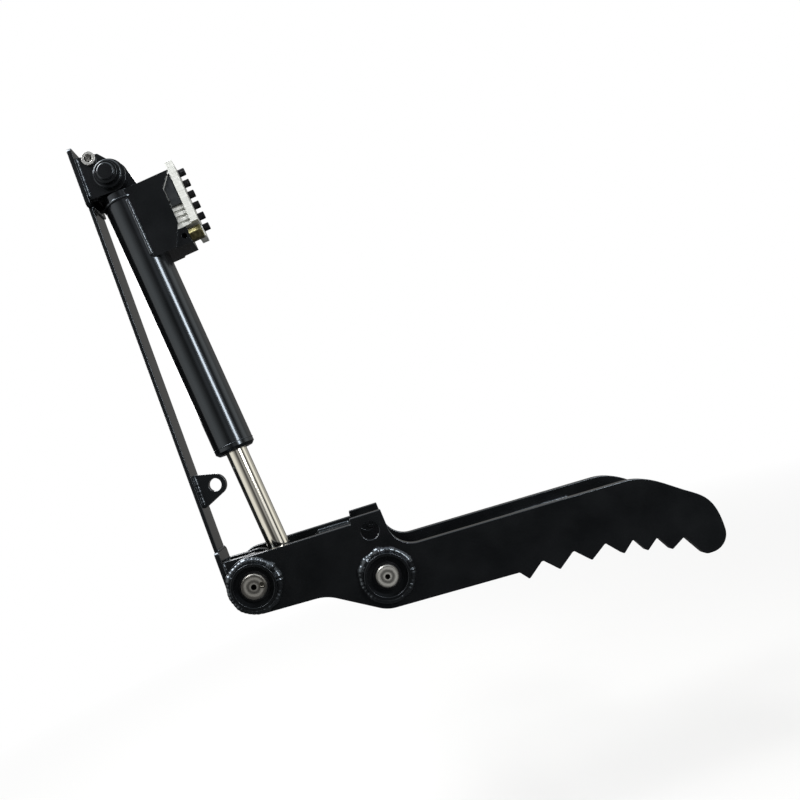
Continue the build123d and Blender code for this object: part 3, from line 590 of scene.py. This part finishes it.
# the solid's triangles are joined and its flat faces made whole before its edges are rounded
def dressNode(name, width, finishName):
    bm = bmesh.new()
    bm.from_mesh(nodes[name].data)
    bmesh.ops.remove_doubles(bm, verts=bm.verts, dist=0.00001)
    bmesh.ops.dissolve_limit(bm, angle_limit=math.radians(0.25), verts=bm.verts, edges=bm.edges)
    softenEdges(bm, width)
    addPiece(name + ".dressed", bm, bodyOf[name], finishName, [name])


for finishName, groups in dressed.items():
    for kind, names in groups.items():
        for name in names:
            dressNode(name, corners[kind], finishName)
print("corners broken")

# solids whose shape is right as it is, and only take a finish
kept = {
    "blackEnamel": ["barrel_tube", "rod_pipe", "cross_sleeve"],
    "turnedPivotPin": ["pivot_pin"],
    "turnedCrossPin": ["cross_pin"],
    "oiledSteel": ["lower_bush_near", "lower_bush_far", "base_bush", "rod_bush", "rod_pin"],
    "hardChrome": ["piston_rod"],
    "springSteel": ["piston", "piston_nut"],
    "nitrileRubber": ["rod_seal"],
    "filledNylon": ["piston_seal", "piston_wear_ring"],
}
for finishName, names in kept.items():
    for name in names:
        nodes[name].data.materials.clear()
        nodes[name].data.materials.append(finish[finishName])


# joins a mesh into a larger one
def takeIn(whole, bm):
    single = bpy.data.meshes.new("single")
    bm.to_mesh(single)
    bm.free()
    whole.from_mesh(single)
    bpy.data.meshes.remove(single)


def roundRing(bm, radius, points, height):
    lift = Matrix.Translation((0, 0, height))
    return bmesh.ops.create_circle(bm, segments=points, radius=radius, matrix=lift)["verts"]


# a ring of points drawn to a six-sided outline, so that it bridges evenly to a round one
def hexRing(bm, across, points, height):
    ring = roundRing(bm, across, points, height)
    for vert in ring:
        turn = math.atan2(vert.co.y, vert.co.x) % math.radians(60)
        vert.co.xy /= math.cos(turn - math.radians(30))
    return ring


# bridges the rings from the foot up, sinks the last one as a blind hole, and closes both ends
def closeRings(bm, rings, holeDepth):
    loops = [list({edge for vert in ring for edge in vert.link_edges}) for ring in rings]
    for low, high in zip(loops, loops[1:]):
        bmesh.ops.bridge_loops(bm, edges=low + high)
    well = bmesh.ops.extrude_edge_only(bm, edges=loops[-1])["geom"]
    bottom = [item for item in well if isinstance(item, bmesh.types.BMVert)]
    bmesh.ops.translate(bm, verts=bottom, vec=(0, 0, -holeDepth))
    bmesh.ops.holes_fill(bm, edges=bm.edges[:], sides=0)
    bmesh.ops.recalc_face_normals(bm, faces=bm.faces)


capScrew = {
    "radius": 0.0075,
    "height": 0.014,
    "chamfer": 0.0009,
    "socket": 0.0035,
    "socketDepth": 0.007,
    "knurls": 36,
    "knurlDepth": 0.00035,
    "twist": 0.7,         # each is tightened to an angle of its own, in radians
    "first": 0.0345,
    "pitch": 0.0247,
    "count": 6,
    "out": 0.127,
    "side": -0.007,
}


def makeCapScrews():
    points = capScrew["knurls"] * 2
    radius, height, chamfer = capScrew["radius"], capScrew["height"], capScrew["chamfer"]
    whole = bmesh.new()
    for index in range(capScrew["count"]):
        bm = bmesh.new()
        knurled = [roundRing(bm, radius, points, level) for level in (0, height - chamfer)]
        for ring in knurled:
            for vert in ring[::2]:
                vert.co.xy *= 1 - capScrew["knurlDepth"] / radius
        top = roundRing(bm, radius - chamfer, points, height)
        socket = hexRing(bm, capScrew["socket"], points, height)
        closeRings(bm, knurled + [top, socket], capScrew["socketDepth"])
        along = capScrew["first"] + index * capScrew["pitch"]
        stand = turned(90, "Y") @ Matrix.Rotation(index * capScrew["twist"], 4, "Z")
        place = Matrix.Translation((capScrew["out"], capScrew["side"], along))
        bm.transform(cylinderFrame @ place @ stand)
        takeIn(whole, bm)
    addPiece("capScrews", whole, "barrel", "blackOxide", ["valve_screws"], smoothBelow=24)


makeCapScrews()

adapter = {
    "across": 0.013,
    "bore": 0.006,
    "boreDepth": 0.022,
    "length": 0.027,
    "cornerBreak": 0.0011,
    "faceHeight": 0.0012,
    "faceRadius": 0.01209,
    "points": 48,
    "place": (0.098, 0.018, 0.17),
}


def makeAdapter():
    bm = bmesh.new()
    points, length = adapter["points"], adapter["length"]
    rings = [hexRing(bm, adapter["across"], points, level) for level in (0, length - adapter["faceHeight"])]
    rings += [roundRing(bm, radius, points, length) for radius in (adapter["faceRadius"], adapter["bore"])]
    closeRings(bm, rings, adapter["boreDepth"])
    softenEdges(bm, adapter["cornerBreak"], sharperThan=50)
    # the flats face along the cylinder, as on the solid
    stand = turned(90, "Y") @ turned(30, "Z")
    bm.transform(cylinderFrame @ Matrix.Translation(adapter["place"]) @ stand)
    addPiece("hoseAdapter", bm, "barrel", "yellowZinc", ["port_fitting"])


makeAdapter()
print("valve fastenings made")

# weld beads: rippled where each drop of metal set, and a little uneven along their length
weld = {
    "pitch": 0.0075,
    "stepsPerRipple": 5,
    "sides": 14,
    "ripple": 0.09,
    "drift": 0.35,        # of a pitch, by which the ripples wander
    "driftScale": 30,
    "wander": 0.26,
    "wanderScale": 70,
    "lump": 0.45,         # height of a lump where a bead starts and ends, in thicknesses
    "lumpWidth": 9,
    "end": 0.35,          # thickness at the ends of a straight bead, and how fast it grows
    "endSlope": 0.5,
    "ringSeed": 90,
    "runSeed": 70,
}


# how far the bead stands out at a place along it
def weldSwell(distance, seed):
    driftNoise = noise.noise(Vector((distance * weld["driftScale"], seed, 5)))
    drift = weld["drift"] * weld["pitch"] * driftNoise
    ripple = abs(math.sin(math.pi * (distance + drift) / weld["pitch"]))
    wander = weld["wander"] * noise.noise(Vector((distance * weld["wanderScale"], seed, 0)))
    return 1 - weld["ripple"] * (1 - ripple) + wander


def addWeld(name, bm, body, place):
    bmesh.ops.recalc_face_normals(bm, faces=bm.faces)
    bm.transform(place)
    addPiece(name, bm, body, "weldEnamel", smoothBelow=80)


# lumps are the angles round the ring at which a bead started or ended
def weldRing(name, body, place, radius, thickness, lumps=()):
    bm = bmesh.new()
    steps = round(2 * math.pi * radius / weld["pitch"]) * weld["stepsPerRipple"]
    section = Matrix.Translation((radius, 0, 0)) @ turned(90, "X")
    bmesh.ops.create_circle(bm, segments=weld["sides"], radius=thickness, matrix=section)
    bmesh.ops.spin(bm, geom=bm.verts[:] + bm.edges[:], cent=(0, 0, 0), axis=(0, 0, 1), dvec=(0, 0, 0),
                   angle=2 * math.pi, steps=steps, use_merge=True)
    bmesh.ops.remove_doubles(bm, verts=bm.verts, dist=0.000005)
    for vert in bm.verts:
        turn = math.atan2(vert.co.y, vert.co.x) % (2 * math.pi)
        middle = Vector((math.cos(turn) * radius, math.sin(turn) * radius, 0))
        swell = weldSwell(turn * radius, radius * weld["ringSeed"])
        for lump in lumps:
            away = math.degrees(abs((turn - math.radians(lump) + math.pi) % (2 * math.pi) - math.pi))
            swell += weld["lump"] * math.exp(-(away / weld["lumpWidth"]) ** 2)
        vert.co = middle + (vert.co - middle) * swell
    addWeld(name, bm, body, place)


def weldRun(name, body, start, end, thickness):
    way = Vector(end) - Vector(start)
    bm = bmesh.new()
    steps = round(way.length / weld["pitch"]) * weld["stepsPerRipple"]
    bmesh.ops.create_circle(bm, segments=weld["sides"], radius=thickness)
    bmesh.ops.spin(bm, geom=bm.verts[:] + bm.edges[:], cent=(0, 0, 0), axis=(0, 0, 1),
                   dvec=(0, 0, way.length / steps), angle=0, steps=steps)
    bmesh.ops.holes_fill(bm, edges=bm.edges[:], sides=0)
    for vert in bm.verts:
        toEnd = min(vert.co.z, way.length - vert.co.z) / thickness
        rim = min(1, weld["end"] + toEnd * weld["endSlope"])
        vert.co.xy *= weldSwell(vert.co.z, start[1] * weld["runSeed"]) * rim
    addWeld(name, bm, body, Matrix.Translation(start) @ way.to_track_quat("Z", "Y").to_matrix().to_4x4())


# round each pin's collars
collarBead = {"out": 0.1022, "radius": 0.0487, "thick": 0.0072}
pinPlaces = {"pivot": (0, 0, 0), "cross": axes["crossPin"]}
lumpsOf = {"pivot": (5, 32, 150), "cross": (20, 128, 152, 95)}
for pinName, (x, _, z) in pinPlaces.items():
    for side, turn in facing.items():
        face = collarBead["out"] if side == "far" else -collarBead["out"]
        weldRing(f"collarWeld.{pinName}.{side}", "thumb",
                 thumbFrame @ Matrix.Translation((x, face, z)) @ turn,
                 collarBead["radius"], collarBead["thick"], lumpsOf[pinName])

# straight beads that lie on the near and the far side alike: how far across each lies, and its ends
# as the other two axes of what it lies on; a plate with two beads has one on each of its faces
pairedBeads = {
    "lowerEarWeld": {"on": "base", "across": (0.026, 0.046), "ends": ((0.0115, -0.043), (0.0115, 0.019)),
                     "thick": 0.0042},
    "upperEarWeld": {"on": "base", "across": (0.026, 0.042), "ends": ((0.0115, 0.799), (0.0115, 0.884)),
                     "thick": 0.0038},
    "lugWeld": {"on": "base", "across": (0.0105,), "ends": ((0.009, 0.137), (0.009, 0.205)),
                "thick": 0.0038},
    "cheekWeld": {"on": "barrel", "across": (0.0402,), "ends": ((0.0135, 0.056), (0.0135, 0.185)),
                  "thick": 0.0048},
    "topPlateWeld": {"on": "thumb", "across": (0.0795,), "ends": ((0.134, 0.0475), (0.207, 0.0475)),
                     "thick": 0.0035},
    "spineWeld": {"on": "thumb", "across": (0.0795,), "ends": ((0.337, -0.0435), (0.678, -0.0435)),
                  "thick": 0.0038},
    "spineUnderWeld": {"on": "thumb", "across": (0.0795,), "ends": ((0.337, -0.0565), (0.678, -0.0565)),
                       "thick": 0.0038},
}
# each body's axes, and which way its far side lies on them
beadFrames = {"base": (Matrix.Identity(4), 1), "barrel": (cylinderFrame, -1), "thumb": (thumbFrame, 1)}
sleeveBead = {"across": 0.0795, "radius": 0.0352, "thick": 0.0036}

for side, sign in (("near", -1), ("far", 1)):
    for name, bead in pairedBeads.items():
        home, far = beadFrames[bead["on"]]
        for across in bead["across"]:
            start, end = (home @ Vector((x, far * sign * across, z)) for x, z in bead["ends"])
            mark = f".{round(across * 1000)}" if len(bead["across"]) > 1 else ""
            weldRun(f"{name}.{side}{mark}", bead["on"], start, end, bead["thick"])
    x, _, z = axes["crossPin"]
    place = thumbFrame @ Matrix.Translation((x, sign * sleeveBead["across"], z)) @ facing[side]
    weldRing(f"sleeveWeld.{side}", "thumb", place, sleeveBead["radius"], sleeveBead["thick"])

# across the bar, where it meets the pads
barBead = {"heights": {"low": 0.0455, "high": 0.7835}, "out": 0.0085, "half": 0.0375, "thick": 0.0032}
for name, z in barBead["heights"].items():
    weldRun(f"barWeld.{name}", "base", (barBead["out"], -barBead["half"], z),
            (barBead["out"], barBead["half"], z), barBead["thick"])

# round the barrel's ends: place along it, radius and thickness
barrelBeads = {"baseCapWeld": (0.051, 0.0418, 0.0034), "glandSeam": (0.5925, 0.0424, 0.0009)}
for name, (along, radius, thickness) in barrelBeads.items():
    weldRing(name, "barrel", cylinderFrame @ Matrix.Translation((0, 0, along)), radius, thickness)
print("welds laid")

# threaded plug in the pivot pin's near end, over the grease way
greasePlug = {
    # radius and height, from the socket's floor over the rim to the outer edge
    "profile": ((0, 0.0002), (0.00332, 0.0002), (0.0038, 0.00077), (0.005, 0.0011), (0.0062, 0.00066),
                (0.00668, -0.0006)),
    "steps": 48,
    "place": (0.0166, -0.116, 0),
}


def makeGreasePlug():
    bm = bmesh.new()
    line = [bm.verts.new((radius, 0, height)) for radius, height in greasePlug["profile"]]
    edges = [bm.edges.new(pair) for pair in zip(line, line[1:])]
    bmesh.ops.spin(bm, geom=line + edges, cent=(0, 0, 0), axis=(0, 0, 1), dvec=(0, 0, 0),
                   angle=2 * math.pi, steps=greasePlug["steps"], use_merge=True)
    bmesh.ops.remove_doubles(bm, verts=bm.verts, dist=0.000005)
    bmesh.ops.recalc_face_normals(bm, faces=bm.faces)
    bm.transform(thumbFrame @ Matrix.Translation(greasePlug["place"]) @ facing["near"])
    addPiece("greasePlug", bm, "thumb", "oiledSteel")


makeGreasePlug()

# nut on the rod-end pipe where it meets the valve's far side
pipeNut = {"across": 0.0105, "length": 0.0095, "out": 0.062, "along": 0.13, "face": 0.0398,
           "cornerBreak": 0.0009}


def makePipeNut():
    bm = bmesh.new()
    radius = pipeNut["across"] / math.cos(math.radians(30))
    bmesh.ops.create_cone(bm, cap_ends=True, segments=6, radius1=radius, radius2=radius,
                          depth=pipeNut["length"])
    softenEdges(bm, pipeNut["cornerBreak"])
    middle = pipeNut["face"] + pipeNut["length"] / 2
    place = Matrix.Translation((pipeNut["out"], -middle, pipeNut["along"]))
    bm.transform(cylinderFrame @ place @ turned(90, "X"))
    addPiece("pipeNut", bm, "barrel", "blackOxide")


makePipeNut()
print("small parts made")
